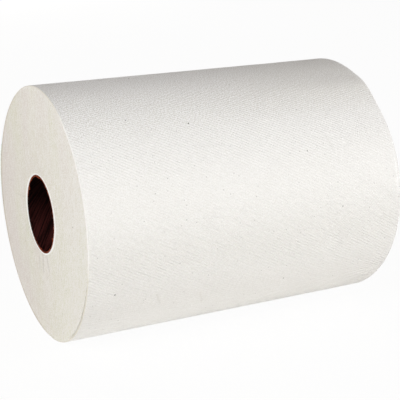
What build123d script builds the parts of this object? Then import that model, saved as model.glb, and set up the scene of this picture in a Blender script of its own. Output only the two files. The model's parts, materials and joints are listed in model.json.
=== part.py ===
"""A hardwound roll of paper towel that lies on its side.

All lengths are millimetres and all angles are degrees. The axis of the roll runs along X. The roll
rests on the small flat that its own weight presses into its lowest line, so Z = 0 is the surface
under it, and the origin is the middle of that flat.
"""

import os
from math import asin, floor, pi, sqrt, tan

from build123d import *

# Wound paper
roll_diameter = 152.0
web_width = 203.2
sheet_thickness = 0.25
loose_end_angle = 20.0
flat_width = 20.0

# Turns that stand in or out on the sawn ends
turn_line_pitch = 7.6
turn_line_width = 3.8
turn_line_depth = 0.2
turn_line_margin = 1.6

# Paperboard tube
core_bore = 44.5
core_wall = 1.2
core_setback = 0.4
ply_width = 76.0
ply_gap = 0.8
ply_gap_depth = 0.15

# Worked out from the sizes above. The radius of the outer turn shrinks by one sheet in a full turn
# back from the loose end, and the flat lies a quarter turn and the loose end's angle back from it.
roll_radius = roll_diameter / 2
resting_radius = roll_radius - sheet_thickness * (90 + loose_end_angle) / 360
axis_height = sqrt(resting_radius**2 - (flat_width / 2) ** 2)
bore_radius = core_bore / 2
core_radius = bore_radius + core_wall
core_length = web_width - 2 * core_setback
ply_lead = pi * core_bore * tan(asin(ply_width / (pi * core_bore)))

# The section across the roll, and the same section turned so that its first axis meets the loose end
section = Plane(origin=(0, 0, axis_height), x_dir=(0, 1, 0), z_dir=(1, 0, 0))
wound_section = section.rotated((loose_end_angle, 0, 0))


def spiral(first_radius, growth, quarters):
    """Draw a spiral of quarter arcs in the open line, and give its two end points.

    The arcs turn about the corners of a small square, one after the other. A corner lies nearer or
    further by one side of the square along the radius where two arcs meet, so they run into each
    other smoothly, and the radius has grown by four sides in each full turn.
    """
    side = growth / 4
    corners = ((-side / 2, side / 2), (-side / 2, -side / 2), (side / 2, -side / 2), (side / 2, side / 2))
    arcs = [
        CenterArc(corners[quarter % 4], first_radius + quarter * side, 90 * quarter, 90)
        for quarter in range(quarters)
    ]
    return arcs[0] @ 0, arcs[-1] @ 1


# The wound paper. Its outline is the last turn of the web, which ends in the step of the loose end.
first_turn_radius = roll_radius - sheet_thickness * 7 / 8
first_line_radius = core_radius + turn_line_margin
last_line_radius = axis_height - turn_line_margin - turn_line_width
line_quarters = floor(4 * (last_line_radius - first_line_radius) / turn_line_pitch)

with BuildPart() as wound_paper:
    with BuildSketch(wound_section):
        with BuildLine():
            under_loose_end, loose_end = spiral(first_turn_radius, sheet_thickness, 4)
            Line(loose_end, under_loose_end)
        make_face()
        Circle(core_radius, mode=Mode.SUBTRACT)
    extrude(amount=web_width / 2, both=True)
    split(bisect_by=Plane.XY, keep=Keep.TOP)

    for end in (-1, 1):
        with BuildSketch(wound_section.offset(end * web_width / 2)):
            with BuildLine():
                inner_start, inner_stop = spiral(first_line_radius, turn_line_pitch, line_quarters)
                outer_start, outer_stop = spiral(
                    first_line_radius + turn_line_width, turn_line_pitch, line_quarters
                )
                Line(inner_start, outer_start)
                Line(inner_stop, outer_stop)
            make_face()
        extrude(amount=-end * turn_line_depth, mode=Mode.SUBTRACT)

# The tube that the web is wound on. Its inner ply is a strip wound along a helix, and the edges of
# neighbouring turns leave a narrow gap between them.
with BuildPart() as core_tube:
    with BuildSketch(section):
        Circle(core_radius)
        Circle(bore_radius, mode=Mode.SUBTRACT)
    extrude(amount=core_length / 2, both=True)

    ply_edge = Helix(
        pitch=ply_lead,
        height=core_length + ply_lead,
        radius=bore_radius,
        center=(-(core_length + ply_lead) / 2, 0, axis_height),
        direction=(1, 0, 0),
        mode=Mode.PRIVATE,
    )
    edge_start = ply_edge @ 0
    outward = edge_start - Vector(edge_start.X, 0, axis_height)
    with BuildSketch(Plane(origin=edge_start, x_dir=outward, z_dir=ply_edge % 0)):
        Rectangle(2 * ply_gap_depth, ply_gap)
    sweep(path=ply_edge, is_frenet=True, mode=Mode.SUBTRACT)

os.makedirs("parts", exist_ok=True)

wound_paper.part.label = "wound_paper"
export_step(wound_paper.part, "parts/wound_paper.step")

core_tube.part.label = "core_tube"
export_step(core_tube.part, "parts/core_tube.step")
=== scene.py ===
"""A hardwound roll of paper towel that lies on its side, dressed for the camera.

Lengths are metres and angles are radians, unless a name says otherwise. The roll's axis runs along X,
and its near end is the one at -X. An angle round the axis starts at +Y and goes up towards +Z, so the
top is at 90 degrees and the side that faces the camera is at 180 degrees.
"""

import json
import math

import bmesh
import bpy
import numpy as np
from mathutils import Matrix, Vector, noise


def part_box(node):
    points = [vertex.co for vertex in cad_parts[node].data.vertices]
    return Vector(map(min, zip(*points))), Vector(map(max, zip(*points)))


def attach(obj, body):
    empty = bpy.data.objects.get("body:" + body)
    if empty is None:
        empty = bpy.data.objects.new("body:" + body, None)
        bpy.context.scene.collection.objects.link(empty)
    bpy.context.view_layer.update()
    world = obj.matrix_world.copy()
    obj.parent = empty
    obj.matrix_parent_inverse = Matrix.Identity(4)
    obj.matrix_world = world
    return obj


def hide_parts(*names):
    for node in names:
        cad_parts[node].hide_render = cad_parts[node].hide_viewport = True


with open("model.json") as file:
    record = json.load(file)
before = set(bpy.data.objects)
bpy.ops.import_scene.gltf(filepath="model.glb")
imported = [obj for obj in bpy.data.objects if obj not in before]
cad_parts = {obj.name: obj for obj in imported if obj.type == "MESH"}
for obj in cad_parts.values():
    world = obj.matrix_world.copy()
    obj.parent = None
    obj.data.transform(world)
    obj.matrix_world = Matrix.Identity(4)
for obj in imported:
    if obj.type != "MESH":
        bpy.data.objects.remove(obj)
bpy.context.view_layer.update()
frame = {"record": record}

MM = 0.001
FULL_TURN = 2 * math.pi

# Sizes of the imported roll. The core's raw ends reach a little further than its solid.
core_reach = 0.3 * MM
core_low, core_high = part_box("core_tube")
half_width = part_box("wound_paper")[1].x
core_half_length = core_high.x + core_reach
core_radius = (core_high.z - core_low.z) / 2
axis_height = (core_high.z + core_low.z) / 2
bore_mount = next(mount for mount in frame["record"]["mounts"] if mount["name"] == "core_bore")
bore_radius = bore_mount["dims"]["r_mm"] * MM
roll_radius = 76 * MM

# The web of towel and its loose end. The flap is the stretch that lies free, and its lap is the part
# of the same sheet that dips under the outer turn to join it.
sheet_thickness = 0.25 * MM
loose_end_angle = math.radians(20)
flap_length = 42 * MM
flap_lap = 6 * MM
flap_lift = 0.7 * MM
flap_tuck = 0.04 * MM

# The sawn ends and their rims
ring_setback = 0.15 * MM
ring_sway = 0.35
rim_bevel = 0.6 * MM
rim_rounding = 0.28 * MM
rim_gap_depth = 1.8 * MM

# How far the soft roll is out of true
near_lobes = 0.65 * MM
far_oval = 1.15 * MM
far_corner = 0.95 * MM
far_hollow = 0.5 * MM
far_bulge = 1.3 * MM
long_wave_height = 0.10 * MM
band_height = 0.05 * MM

# The core's inner ply and the ragged board at its mouths
ply_width = 76 * MM
ply_lead = FULL_TURN * bore_radius * math.tan(math.asin(ply_width / (FULL_TURN * bore_radius)))
ply_gap = 0.8 * MM
ply_gap_depth = 0.15 * MM
burr_height = 1.0 * MM
burr_reach = 1.7 * MM

# How finely the pieces are divided
skin_columns = 256
skin_cuts = 56
end_rings = 122
flap_columns = 36
flap_rows = 72
core_columns = 180
core_cuts = 40

# Where the bevel of the rims starts, and the width of one ring of the sawn ends
bevel_start = half_width - rim_bevel
ring_step = (roll_radius - rim_bevel - core_radius) / end_rings


def around(points):
    """The radius and the angle round the roll's axis of an array of points."""
    across, up = points[:, 1], points[:, 2] - axis_height
    return np.hypot(across, up), np.arctan2(up, across)


def points_at(along, radius, angle):
    """Points from their place along the axis, their radius and their angle."""
    return np.column_stack((along, radius * np.cos(angle), axis_height + radius * np.sin(angle)))


def read_points(piece):
    points = np.empty(len(piece.data.vertices) * 3)
    piece.data.vertices.foreach_get("co", points)
    return points.reshape(-1, 3)


def write_points(piece, points):
    piece.data.vertices.foreach_set("co", points.ravel())
    piece.data.update()


def smoothstep(share):
    """A smooth rise from 0 to 1 as the share goes from 0 to 1."""
    share = np.clip(share, 0, 1)
    return share * share * (3 - 2 * share)


def bell(angle, middle, width):
    """A smooth hump round the roll, 1 at its middle. The middle and the width are in degrees."""
    off = np.mod(np.degrees(angle) - middle + 180, 360) - 180
    return np.exp(-((off / width) ** 2))


def smooth_noise(points, grain):
    """Noise from -1 to 1 at each point, with features about one grain across."""
    return np.array([noise.noise(Vector(point) / grain) for point in points])


def deselect():
    for thing in bpy.context.selected_objects:
        thing.select_set(False)


def lying_cylinder(name, columns, radius, length, ends):
    """A cylinder along the roll's axis, left in edit mode."""
    deselect()
    bpy.ops.mesh.primitive_cylinder_add(
        vertices=columns,
        radius=radius,
        depth=length,
        end_fill_type=ends,
        location=(0, 0, axis_height),
        rotation=(0, math.pi / 2, 0),
    )
    piece = bpy.context.object
    piece.name = name
    piece.data.name = name
    bpy.ops.object.transform_apply(location=True, rotation=True, scale=True)
    bpy.ops.object.mode_set(mode="EDIT")
    return piece


def cut_across(places):
    """Cut the piece in edit mode square to the roll's axis at each place."""
    for along in places:
        bpy.ops.mesh.select_all(action="SELECT")
        bpy.ops.mesh.bisect(plane_co=(along, 0, axis_height), plane_no=(1, 0, 0))


def select_faces(piece, wanted):
    """Select the faces of the piece in edit mode that wanted accepts."""
    bpy.ops.mesh.select_all(action="DESELECT")
    shape = bmesh.from_edit_mesh(piece.data)
    for face in shape.faces:
        face.select_set(wanted(face))
    bmesh.update_edit_mesh(piece.data)


def turns_back(angle):
    """How much of a turn an angle lies back from the loose end, from 0 to 1."""
    return np.mod(loose_end_angle - angle, FULL_TURN) / FULL_TURN


def web_radius(angle):
    """The radius of the last turn of the web, which shrinks by one sheet in a turn back."""
    return roll_radius - sheet_thickness * turns_back(angle)


def out_of_round(points):
    """How far the skin lies off a true round. The near end bulges in three places, the far end in two.

    The far end has a blunt corner as well, high on the camera's side, with a slight hollow below it.
    """
    angle = around(points)[1]
    share = (points[:, 0] + half_width) / (2 * half_width)
    near = near_lobes * np.cos(3 * (angle + math.radians(5)))
    far = far_oval * np.cos(2 * (angle - math.radians(27)))
    corner = far_corner * bell(angle, 118, 7) - far_hollow * bell(angle, 134, 9)
    return near * (1 - share) + far * share + corner * share**3


def skin_form(points):
    """Everything that sets the skin off from a true spiral: its shape and its shallow waves."""
    long_waves = smooth_noise(points, 60 * MM)
    bands = smooth_noise(points * (1, 0.15, 0.15), 9 * MM)
    return out_of_round(points) + long_wave_height * long_waves + band_height * bands


def ring_profile(seed):
    """Offsets of the rings of one sawn end: single turns, small bundles and broad bands."""
    rng = np.random.default_rng(seed)
    rings = np.arange(end_rings + 1)
    profile = np.zeros(end_rings + 1)
    for spacing, height in ((1, 0.026 * MM), (4, 0.035 * MM), (15, 0.06 * MM)):
        knots = np.arange(0, end_rings + 2 * spacing, spacing)
        profile += np.interp(rings, knots, rng.normal(0, height, len(knots)))
    return profile


def ringed_cylinder():
    """A cylinder with its skin cut into short lengths and each of its ends into rings."""
    web = lying_cylinder("wound_web", skin_columns, roll_radius, 2 * half_width, "NGON")
    cut_across(np.linspace(-bevel_start, bevel_start, skin_cuts))

    select_faces(web, lambda face: abs(face.normal.x) > 0.9)
    bpy.ops.mesh.inset(thickness=rim_bevel, use_individual=True)
    for ring in range(end_rings):
        bpy.ops.mesh.inset(thickness=ring_step, use_individual=True)

    # The discs left in the middle give way to the wall of the hole that the core fills.
    bpy.ops.mesh.delete(type="ONLY_FACE")
    bpy.ops.mesh.bridge_edge_loops()
    bpy.ops.object.mode_set(mode="OBJECT")
    return web


def web_form(points):
    """The points of the ringed cylinder, moved to where they lie on the wound web."""
    along = points[:, 0].copy()
    radius, angle = around(points)
    on_skin = radius > roll_radius - ring_step / 4
    on_end = np.abs(along) > half_width - MM / 10
    under_outer_turn = np.abs(radius - (roll_radius - rim_bevel - ring_step)) < ring_step / 4

    # The skin steps down by one sheet under the flap, and each ring keeps its share of the way out.
    share = (radius - core_radius) / (roll_radius - core_radius)
    past_flap = smoothstep((turns_back(angle) * FULL_TURN * roll_radius - flap_length) / (2 * MM))
    skin_radius = web_radius(angle) - sheet_thickness * (1 - past_flap) + skin_form(points)
    ring_radius = core_radius + share * (skin_radius - core_radius)
    radius = np.where(on_skin, skin_radius, ring_radius)

    # The rings stand a little in or out, and by more on one side of the roll than on the other.
    ring_number = share * end_rings
    for side, seed in ((-1, 11), (1, 12)):
        sawn = on_end & (np.sign(along) == side)
        offset = np.interp(ring_number[sawn], np.arange(end_rings + 1), ring_profile(seed))
        sway = 1 + ring_sway * np.sin(angle[sawn] + seed + 0.05 * ring_number[sawn])
        along[sawn] += side * (offset * sway - ring_setback)

    # The rims are rounded, and low on the near one the outer turn parts from the turn below it.
    on_rim = on_skin & on_end
    along[on_rim] -= np.sign(along[on_rim]) * rim_rounding
    radius[on_rim] -= rim_rounding
    degrees = np.mod(np.degrees(angle), 360)
    parted = smoothstep((degrees - 190) / 12) * smoothstep((243 - degrees) / 20)
    along = np.where(on_end & under_outer_turn & (along < 0), along + rim_gap_depth * parted, along)

    # The far end bulges outwards on the camera's side, and the roll rests on its flat.
    facing = np.maximum(np.cos(angle - math.radians(185)), 0) ** 2
    along += far_bulge * facing * share**2 * smoothstep(along / half_width)
    points = points_at(along, radius, angle)
    points[:, 2] = np.maximum(points[:, 2], 0)
    return points


def on_sawn_end(face):
    return abs(face.normal.x) > 0.7


def on_outer_turn(face):
    """Whether a face belongs to the bevelled edge of the outer turn, at either end."""
    reach = math.hypot(face.center.y, face.center.z - axis_height)
    return abs(face.center.x) > bevel_start and reach > roll_radius - rim_bevel


def on_board_lip(face):
    return on_sawn_end(face) and abs(face.center.x) > core_half_length - MM / 10


def wound_web(skin, end, rim):
    """The wound paper: the outer turn as its skin, and a ring for every few turns on its ends."""
    web = ringed_cylinder()
    give(web, skin)
    give(web, end, on_sawn_end)
    give(web, rim, on_outer_turn)
    write_points(web, web_form(read_points(web)))
    return web


def loose_end():
    """The last stretch of the web, which lies on the turn below and lifts a little at its edge."""
    deselect()
    bpy.ops.mesh.primitive_grid_add(x_subdivisions=flap_rows, y_subdivisions=flap_columns, size=2)
    flap = bpy.context.object
    flap.name = "loose_end"
    flap.data.name = "loose_end"

    # The grid runs from -1 to 1. Its X goes along the roll, and its Y from the lap to the free edge.
    points = read_points(flap)
    along = points[:, 0] * (half_width - rim_rounding)
    share = (points[:, 1] + 1) / 2
    length = flap_length + flap_lap
    angle = loose_end_angle - (1 - share) * length / roll_radius

    # The free edge lifts in slow waves, and less towards the near end. The lap dips below the skin.
    wave = smooth_noise(points_at(along, roll_radius + 0 * along, angle), 45 * MM)
    freedom = 0.1 + 0.9 * smoothstep((along + half_width) / (90 * MM))
    lift = flap_lift * share**3 * (1 + wave) * freedom
    tuck = flap_tuck * (2 * smoothstep(share * length / flap_lap) - 1)
    on_skin = points_at(along, web_radius(angle), angle)
    radius = web_radius(angle) + skin_form(on_skin) + tuck + lift
    write_points(flap, points_at(along, radius, angle))

    thickness = flap.modifiers.new("sheet", "SOLIDIFY")
    thickness.thickness = sheet_thickness
    thickness.offset = -1
    bpy.ops.object.modifier_apply(modifier=thickness.name)
    return flap


def core_board():
    """The paperboard tube, whose columns of faces follow the helix of its inner ply."""
    core = lying_cylinder("core_board", core_columns, bore_radius, 2 * core_half_length, "NOTHING")

    # Four close cuts behind each mouth leave room for torn board, and the others are even.
    near_mouth = core_half_length - np.array((0.4, 0.9, 1.6, 3.0)) * MM
    cuts = np.linspace(-near_mouth[-1], near_mouth[-1], core_cuts)[1:-1]
    cut_across(np.concatenate((-near_mouth, cuts, near_mouth)))
    bpy.ops.object.mode_set(mode="OBJECT")
    wall = core.modifiers.new("wall", "SOLIDIFY")
    wall.thickness = core_radius - bore_radius
    wall.offset = 1
    bpy.ops.object.modifier_apply(modifier=wall.name)

    # The four rows of points nearest the gap in the inner ply close up to its width, and the middle
    # two sink in.
    points = read_points(core)
    radius, angle = around(points)
    inside = radius < (core_radius + bore_radius) / 2
    column = FULL_TURN / core_columns
    from_gap = np.mod(angle + math.pi, FULL_TURN) - math.pi + column / 2
    step = np.round(np.abs(from_gap) / column * 2)
    edge = np.sign(from_gap) * ply_gap / 2 / bore_radius
    moved = np.where(step == 1, 0.6 * edge, np.where(step == 3, edge, from_gap))
    angle = np.where(inside, moved, from_gap)
    radius = np.where(inside & (step == 1), radius + ply_gap_depth, radius)
    angle = angle + FULL_TURN * points[:, 0] / ply_lead

    # Torn board stands into the bore at the mouths.
    to_mouth = core_half_length - np.abs(points[:, 0])
    rough = smooth_noise(points_at(points[:, 0], radius, angle), 2.6 * MM) - 0.12
    burr = burr_height * 3 * np.clip(rough, 0, 1) * smoothstep(1 - to_mouth / burr_reach)
    radius = np.where(inside, radius - burr, radius)
    write_points(core, points_at(points[:, 0], radius, angle))
    return core


class Signal:
    """A socket whose number varies over a surface. Arithmetic on it adds Math nodes."""

    def __init__(self, finish, socket):
        self.finish = finish
        self.socket = socket

    def math(self, operation, *inputs):
        return self.finish.node("ShaderNodeMath", {"operation": operation}, inputs)

    def __add__(self, other):
        return self.math("ADD", self, other)

    def __sub__(self, other):
        return self.math("SUBTRACT", self, other)

    def __rsub__(self, other):
        return self.math("SUBTRACT", other, self)

    def __mul__(self, other):
        return self.math("MULTIPLY", self, other)

    def __truediv__(self, other):
        return self.math("DIVIDE", self, other)

    def __rtruediv__(self, other):
        return self.math("DIVIDE", other, self)

    __radd__ = __add__
    __rmul__ = __mul__

    def root(self):
        return self.math("SQRT", self)

    def sine(self):
        return self.math("SINE", self)

    def absolute(self):
        return self.math("ABSOLUTE", self)

    def exponential(self):
        return self.math("EXPONENT", self)

    def least(self, other):
        return self.math("MINIMUM", self, other)

    def most(self, other):
        return self.math("MAXIMUM", self, other)

    def hump(self, middle, width):
        """1 at the middle, falling smoothly to 0 on both sides."""
        off = (self - middle) / width
        return (off * off * -1).exponential()

    def between(self, low, high, first=0, last=1):
        """A smooth change from first at low to last at high."""
        return self.finish.node(
            "ShaderNodeMapRange",
            {"interpolation_type": "SMOOTHSTEP"},
            {"Value": self, "From Min": low, "From Max": high, "To Min": first, "To Max": last},
            "Result",
        )


class Finish:
    """The nodes of one material, or of the world."""

    def __init__(self, owner):
        self.owner = owner
        self.owner.use_nodes = True
        self.tree = owner.node_tree
        self.tree.nodes.clear()

    def node(self, kind, settings=None, inputs=(), output=0):
        """Add a node: its settings first, then the values or links of its sockets."""
        added = self.tree.nodes.new(kind)
        for setting, value in (settings or {}).items():
            setattr(added, setting, value)
        named = inputs.items() if isinstance(inputs, dict) else enumerate(inputs)
        for key, value in named:
            if isinstance(value, Signal):
                self.tree.links.new(value.socket, added.inputs[key])
            else:
                added.inputs[key].default_value = value
        if added.outputs:
            return Signal(self, added.outputs[output])

    def mix(self, factor, first, second):
        """Blend two colours."""
        inputs = {"Factor": factor, 6: first, 7: second}
        return self.node("ShaderNodeMix", {"data_type": "RGBA"}, inputs, 2)

    def vector(self, *parts):
        return self.node("ShaderNodeCombineXYZ", None, parts)

    def split(self, place):
        """The X, Y and Z of a place."""
        parts = self.node("ShaderNodeSeparateXYZ", None, (place,)).socket.node.outputs
        return [Signal(self, part) for part in parts]

    def grain(self, place, size, detail=2.0, stretch=(1, 1, 1)):
        """Noise with features of about this size, less 0.5, so that it varies about 0."""
        scales = tuple(share / size for share in stretch)
        scaled = self.node("ShaderNodeVectorMath", {"operation": "MULTIPLY"}, (place, scales))
        pattern = {"Vector": scaled, "Scale": 1.0, "Detail": detail}
        return self.node("ShaderNodeTexNoise", None, pattern) - 0.5

    def specks(self, place, spacing, size):
        """Dark specks, one in each cell of a loose pattern, each of its own strength."""
        inputs = {0: place, "Scale": 1 / spacing}
        scaled = self.node("ShaderNodeVectorMath", {"operation": "SCALE"}, inputs)
        cell = {"Vector": scaled, "Scale": 1.0}
        distance = self.node("ShaderNodeTexVoronoi", None, cell, "Distance")
        colour = self.node("ShaderNodeTexVoronoi", None, cell, "Color")
        strength = self.node("ShaderNodeSeparateColor", None, (colour,))
        spot = distance.between(0.4 * size / spacing, 0.7 * size / spacing, 1, 0)
        return spot * strength.between(0.05, 0.55)

    def shown(self):
        """1 for a ray that shows a surface to the camera, straight, in a mirror or through glass."""
        rays = self.node("ShaderNodeLightPath").socket.node.outputs
        names = ("Is Camera Ray", "Is Glossy Ray", "Is Transmission Ray")
        straight, mirrored, through = (Signal(self, rays[name]) for name in names)
        return straight.most(mirrored).most(through)

    def surface(self, colour, height, roughness=0.95, specular=0.1):
        """The shader of the finish. Height is in millimetres."""
        bump = self.node("ShaderNodeBump", None, {"Height": height, "Distance": MM, "Strength": 1.0})
        inputs = {
            "Base Color": colour,
            "Roughness": roughness,
            "Specular IOR Level": specular,
            "Normal": bump,
        }
        shader = self.node("ShaderNodeBsdfPrincipled", None, inputs)
        self.node("ShaderNodeOutputMaterial", None, (shader,))
        return self.owner


def linear(red, green, blue):
    """A colour given as it is seen on a screen, from 0 to 255, as the renderer needs it."""
    return tuple(
        share / 12.92 if share <= 0.04045 else ((share + 0.055) / 1.055) ** 2.4
        for share in (red / 255, green / 255, blue / 255)
    ) + (1.0,)


def roll_places(finish):
    """Where a point is: along the axis, round the axis, its radius, and its own place in space.

    The place round the axis is an arc on the skin, whose jump lies at the loose end. It grows from
    there over the top and down the camera's side, and it is 0 half a turn from the loose end.
    """
    own = finish.node("ShaderNodeTexCoord", None, (), "Object")
    settings = {"vector_type": "POINT"}
    centring = {"Vector": own, "Location": (0, 0, -axis_height)}
    centred = finish.node("ShaderNodeMapping", settings, centring)
    turning = {"Vector": centred, "Rotation": (math.pi - loose_end_angle, 0, 0)}
    along, across, up = finish.split(finish.node("ShaderNodeMapping", settings, turning))
    arc = up.math("ARCTAN2", up, across) * roll_radius
    radius = (across * across + up * up).root()
    return along, arc, radius, centred


def ridges(along, arc, waves_along, waves_round, shift):
    """Parallel ridges, by how many there are to a millimetre along and round the roll."""
    phase = along * (FULL_TURN * waves_along / MM) + arc * (FULL_TURN * waves_round / MM) + shift
    return phase.sine()


def crease(along, arc, first, last, width):
    """How near a point is to a straight crease, from 0 to 1. Ends and width are in millimetres."""
    run, rise = last[0] - first[0], last[1] - first[1]
    length = math.hypot(run, rise)
    from_first = along / MM - first[0], arc / MM - first[1]
    onward = (from_first[0] * run + from_first[1] * rise) / length
    aside = (from_first[0] * rise - from_first[1] * run) / length
    faded = (onward - length / 2).absolute().between(length / 4, length / 2, 1, 0)
    return aside.hump(0, width) * faded


def emboss_depth(arc):
    """How deep the emboss is: flatter in a band that faces the camera, a little deeper below it."""
    flatter = arc.hump(-53 * MM, 13 * MM) * 0.62
    deeper = arc.between(-30 * MM, -5 * MM) * arc.between(60 * MM, 110 * MM, 0.2, 0)
    return 1 - flatter + deeper


def painted_light_and_shade(along, up):
    """Painted light and shade: creamier high on the far half and in a band below the middle, whiter on
    the shoulder and low down, most towards the near end.
    """
    painted_shade_far_top = along.between(-half_width / 2, half_width, 0, 0.6) * up.between(50 * MM, 70 * MM)
    band = up.hump(-8 * MM, 14 * MM) * 0.14
    shoulder = up.hump(50 * MM, 13 * MM) * 0.07
    low = along.between(-half_width, half_width, 0.35, 0.1) * up.between(-68 * MM, -36 * MM, 1, 0)
    return painted_shade_far_top + band - shoulder - low


def painted_highlight_strip(along, arc):
    """A narrow strip beside the far edge, on the camera's side, that a painted highlight makes whiter.
    """
    stretch = arc.between(-64 * MM, -52 * MM) * arc.between(-38 * MM, -28 * MM, 1, 0)
    return along.hump(half_width - 1.15 * MM, 0.5 * MM) * stretch


def painted_edge_shade(arc):
    """Where painted shade darkens the outer turns' edges: on the side of the loose end, and under it.
    """
    return arc.between(85 * MM, 112 * MM) + arc.between(-205 * MM, -175 * MM, 1, 0)


def embossed_skin():
    """Soft white towel with two crossing sets of fine slanting ridges and a few dark specks."""
    finish = Finish(bpy.data.materials.new("embossed_skin"))
    along, arc, _, place = roll_places(finish)
    up = finish.split(place)[2]
    sheet = finish.vector(along, arc, 0.0)

    drift = finish.grain(sheet, 14 * MM) * 2.4
    steep = ridges(along, arc, -0.303, 0.535, drift)
    flat = ridges(along, arc, 0.36, 0.80, drift)
    strength = finish.grain(sheet, 2.6 * MM) * 3.2 + 1
    relief = (steep + flat * 0.35) * strength * emboss_depth(arc)
    fibres = finish.grain(sheet, 0.7 * MM, 3.0)
    clumps = finish.grain(sheet, 2.2 * MM)
    creased = (
        crease(along, arc, (56, -75), (59, -63), 0.7)
        + crease(along, arc, (-59, 7), (-54, 19), 0.7)
        + crease(along, arc, (-30, 13), (-25, 27), 0.7)
    )
    height = relief * 0.075 + fibres * 0.2 + clumps * 0.05 - creased * 0.12

    white = linear(253, 254, 253)
    cream = linear(225, 224, 219)
    speck = linear(36, 29, 24)
    patches = finish.grain(sheet, 22 * MM, 3.0)
    # The fibre grain is painted much stronger high on the roll, as painted shade of the fibres under
    # grazing light.
    fibre_grain_and_painted_top_shade = fibres * up.between(48 * MM, 72 * MM, 1.1, 7.5)
    # Painted shade darkens the emboss's valleys and the creases.
    texture = patches * 0.15 + clumps * 0.3 + fibre_grain_and_painted_top_shade - relief * 0.04 + creased * 0.2
    # The tone takes painted light and shade by height, and a painted highlight on a strip beside the
    # far edge.
    tone = texture + painted_light_and_shade(along, up) - painted_highlight_strip(along, arc) * 0.35 + 0.5
    colour = finish.mix(tone, white, cream)
    large_specks = finish.specks(sheet, 14 * MM, 0.72 * MM)
    small_specks = finish.specks(sheet, 4.5 * MM, 0.65 * MM)
    colour = finish.mix((large_specks + small_specks * 0.3).least(1.0), colour, speck)
    return finish.surface(colour, height)


def torn_rim():
    """The outer turn's edge on the sawn ends: a painted highlight whitens it high on the camera's side,
    and painted shade darkens it where the edges turn away and all along the far end.
    """
    finish = Finish(bpy.data.materials.new("torn_rim"))
    along, arc, *_ = roll_places(finish)
    fibres = finish.grain(finish.vector(along, arc, 0.0), 0.9 * MM, 3.0)
    # A painted highlight whitens the rim on the upper part of the camera's side.
    painted_rim_highlight = arc.between(-125 * MM, -90 * MM) * arc.between(-24 * MM, -4 * MM, 1, 0)
    tone = painted_rim_highlight * 0.9 + fibres * 0.8
    colour = finish.mix(tone, linear(232, 229, 218), linear(255, 255, 253))
    # Painted shade darkens the rim on the loose end's side and under it, and all round the far end.
    colour = finish.mix(painted_edge_shade(arc), colour, linear(188, 180, 166))
    colour = finish.mix(along.between(0, half_width), colour, linear(162, 156, 144))
    return finish.surface(colour, fibres * 0.2)


def sawn_end():
    """The sawn edges of the turns: creamier, with faint rings and fine upright saw marks."""
    finish = Finish(bpy.data.materials.new("sawn_end"))
    along, arc, radius, place = roll_places(finish)
    _, across, up = finish.split(place)

    saw = finish.grain(place, 0.9 * MM, 2.0, (1, 1, 0.18))
    broad_saw = finish.grain(place, 16 * MM, 2.0, (1, 1, 0.15))
    rings = finish.grain(finish.vector(radius, 0.0, 0.0), 0.7 * MM, 3.0)
    fibres = finish.grain(place, 0.8 * MM, 3.0)
    near_core = radius.between(core_radius, core_radius + 16 * MM, 1, 0)
    pucker = finish.grain(finish.vector(arc, radius * 0.12, 0.0), 3.5 * MM) * near_core
    on_near_end = along.between(-MM, MM, 1, 0)
    creased = on_near_end * (
        crease(across, up, (-1.3, -22), (-0.5, -38), 1.0)
        + crease(across, up, (-7.5, -22), (-11.5, -34), 1.0)
        + crease(across, up, (5.2, -26), (5.6, -38), 0.8)
        + crease(across, up, (46, 0.5), (26, 3.5), 0.5) * 0.5
        + crease(across, up, (60, 6), (44, 9), 0.5) * 0.3
    )
    height = saw * 0.22 + rings * 0.05 + fibres * 0.3 + pucker * 0.8 - creased * 0.25

    light = linear(241, 240, 235)
    grey = linear(226, 220, 213)
    yellow = linear(224, 224, 205)
    speck = linear(44, 36, 30)
    tint = finish.grain(place, 30 * MM, 2.0, (1, 1, 0.4)) - across * 1.8
    dark = finish.mix(tint.between(-0.2, 0.2), grey, yellow)
    # Painted shade darkens the end towards +Y.
    tone = saw * 1.9 + broad_saw * 0.45 + rings * 0.4 + fibres * 3.4 + across * 4.0 + 0.5
    colour = finish.mix(tone, light, dark)

    # The first turns are clean and white, in a ring that is widest on both sides of the core.
    from_core = radius - across * across * (1.6 * MM / core_radius**2)
    first_turns = from_core.between(core_radius + 0.3 * MM, core_radius + 1.2 * MM, 1, 0)
    colour = finish.mix(first_turns, colour, linear(255, 255, 252))
    # Painted shade darkens the last turns next to the rim, on the loose end's side and under it.
    shaded_last_turns = radius.between(roll_radius - 3.0 * MM, roll_radius - 1.6 * MM) * painted_edge_shade(arc)
    colour = finish.mix(shaded_last_turns, colour, linear(212, 205, 192))
    large_specks = finish.specks(place, 16 * MM, 0.75 * MM)
    small_specks = finish.specks(place, 5 * MM, 0.7 * MM)
    # Besides the dark specks, the creases take painted shade.
    marks = large_specks + small_specks * 0.25 + creased * 0.13
    colour = finish.mix(marks.least(1.0), colour, speck)
    return finish.surface(colour, height)


def helix_places(along, arc):
    """Where a point of the bore wall is, across the ply's helix and along it."""
    round_bore = arc * (bore_radius / roll_radius)
    turn = FULL_TURN * bore_radius
    slant = math.hypot(turn, ply_lead)
    over = (along * turn - round_bore * ply_lead) / slant
    onward = (along * ply_lead + round_bore * turn) / slant
    return over, onward


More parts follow.
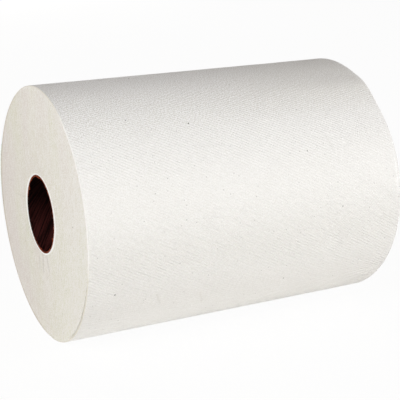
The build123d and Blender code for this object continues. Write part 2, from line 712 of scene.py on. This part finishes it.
def board_wall():
    """Dark red-brown paperboard with fine streaks that follow the ply's helix."""
    finish = Finish(bpy.data.materials.new("core_wall"))
    along, arc, radius, place = roll_places(finish)
    up = finish.split(place)[2]
    ply = finish.vector(*helix_places(along, arc), radius)
    streaks = finish.grain(ply, 0.95 * MM, 1.0, (1, 0.04, 0.4))
    fibres = finish.grain(place, 0.8 * MM)
    tone = streaks * 4.0 + fibres + 0.5
    painted_shade_board = finish.mix(tone, linear(38, 19, 18), linear(16, 9, 9))
    painted_light_board = finish.mix(tone, linear(78, 37, 35), linear(32, 17, 16))

    # Painted light makes the wall lighter low in the bore and near the mouths, and painted shade keeps
    # it dark higher up and deep inside.
    light_fade_start = core_half_length - 26 * MM
    light_fade_end = core_half_length - 14 * MM
    painted_light_share = up.between(-20 * MM, 8 * MM, 1, 0) * along.absolute().between(light_fade_start, light_fade_end, 0.3, 1)
    colour = finish.mix(painted_light_share, painted_shade_board, painted_light_board)
    return finish.surface(colour, streaks * 0.15 + fibres * 0.04, 0.9, 0.0)


def board_lip():
    """The cut end of the paperboard, orange-brown, with its plies showing as darker rings."""
    finish = Finish(bpy.data.materials.new("core_lip"))
    *_, radius, place = roll_places(finish)
    _, across, up = finish.split(place)
    plies = (radius * (FULL_TURN / (0.6 * MM))).sine()
    ragged = finish.grain(place, 1.6 * MM, 3.0)
    tone = plies * 0.35 + ragged * 2.4 + 0.5
    colour = finish.mix(tone, linear(146, 68, 40), linear(62, 25, 16))
    # Painted shade darkens the lip on its +Y side, about its middle height.
    beside = across.between(6 * MM, 14 * MM)
    painted_lip_shade = beside * up.between(-19 * MM, -15 * MM) * up.between(2 * MM, 8 * MM, 1, 0)
    colour = finish.mix(painted_lip_shade, colour, linear(34, 16, 13))
    return finish.surface(colour, ragged * 0.25, 0.9, 0.05)


def give(piece, material, where=None):
    """Give a material to the faces of a piece that where accepts, or to all of them."""
    piece.data.materials.append(material)
    slot = len(piece.data.materials) - 1
    for face in piece.data.polygons:
        if where is None or where(face):
            face.material_index = slot


def shade(piece):
    """Shade a piece smoothly, and keep its edges of more than 50 degrees sharp."""
    deselect()
    piece.select_set(True)
    bpy.context.view_layer.objects.active = piece
    bpy.ops.object.shade_smooth_by_angle(angle=math.radians(50))


def dress():
    """Make every piece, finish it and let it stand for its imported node."""
    skin = embossed_skin()
    end = sawn_end()
    wall = board_wall()
    lip = board_lip()
    rim = torn_rim()

    web = wound_web(skin, end, rim)
    flap = loose_end()
    give(flap, skin)
    core = core_board()
    give(core, wall)
    give(core, lip, on_board_lip)
    for piece in (web, flap, core):
        shade(piece)
        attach(piece, "root")
    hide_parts("wound_paper")
    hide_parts("wound_paper")
    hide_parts("core_tube")


def direction(azimuth, elevation):
    """Towards a place at this azimuth and elevation in degrees. Azimuth 0 lies along -Y."""
    turn, rise = math.radians(azimuth), math.radians(elevation)
    level = math.cos(rise)
    return Vector((math.sin(turn) * level, -math.cos(turn) * level, math.sin(rise)))


def aim(thing, at):
    thing.rotation_euler = (at - thing.location).to_track_quat("-Z", "Y").to_euler()


def camera():
    """The photograph's viewpoint, fitted to the roll's outline and the mouth of the core."""
    azimuth, elevation, distance = -27.18, 17.10, 699.1
    target = Vector((4.06, 0, 69.16)) * MM
    lens = bpy.data.cameras.new("camera")
    lens.lens = 99.5
    lens.sensor_width = 36
    eye = bpy.data.objects.new("camera", lens)
    bpy.context.scene.collection.objects.link(eye)
    eye.location = target + direction(azimuth, elevation) * distance * MM
    aim(eye, target)
    bpy.context.scene.camera = eye


def softbox(name, azimuth, elevation, width, height, power):
    """A rectangular lamp that faces the roll from two metres away."""
    lamp = bpy.data.lights.new(name, "AREA")
    lamp.shape = "RECTANGLE"
    lamp.size = width
    lamp.size_y = height
    lamp.energy = power
    box = bpy.data.objects.new(name, lamp)
    bpy.context.scene.collection.objects.link(box)
    centre = Vector((0, 0, axis_height))
    box.location = centre + direction(azimuth, elevation) * 2.0
    aim(box, centre)


def lights():
    softbox("left", azimuth=-68, elevation=27, width=1.0, height=1.0, power=22.8)
    softbox("right", azimuth=48, elevation=20, width=1.0, height=0.7, power=18.1)
    softbox("low", azimuth=30, elevation=3, width=1.2, height=0.24, power=8.0)
    softbox("back", azimuth=180, elevation=7, width=1.4, height=0.36, power=12.5)


def backdrop():
    """Faint, slightly warm world light, which the camera sees as plain white."""
    bpy.context.scene.world = bpy.data.worlds.new("surroundings")
    finish = Finish(bpy.context.scene.world)
    warm = {"Color": (1, 0.87, 0.845, 1), "Strength": 0.16}
    white = {"Color": (1, 1, 1, 1), "Strength": 1.0}
    lit = finish.node("ShaderNodeBackground", None, warm)
    seen = finish.node("ShaderNodeBackground", None, white)
    blend = finish.node("ShaderNodeMixShader", None, (finish.shown(), lit, seen))
    finish.node("ShaderNodeOutputWorld", None, (blend,))


def floor():
    """A wide white floor that keeps a light shadow and glows faintly onto the underside."""
    deselect()
    bpy.ops.mesh.primitive_plane_add(size=12, location=(0, 0, 0))
    ground = bpy.context.object
    ground.name = "floor"
    finish = Finish(bpy.data.materials.new("floor"))
    matte = finish.node("ShaderNodeBsdfDiffuse", None, {"Color": (0.98, 0.962, 0.925, 1)})
    glow = finish.node("ShaderNodeEmission", None, {"Color": (1, 1, 1, 1), "Strength": 1.0})
    share = finish.shown() * 0.88 + 0.07
    blend = finish.node("ShaderNodeMixShader", None, (share, matte, glow))
    finish.node("ShaderNodeOutputMaterial", None, (blend,))
    ground.data.materials.append(finish.owner)


dress()
camera()
lights()
backdrop()
floor()
bpy.context.scene.view_settings.view_transform = "Standard"
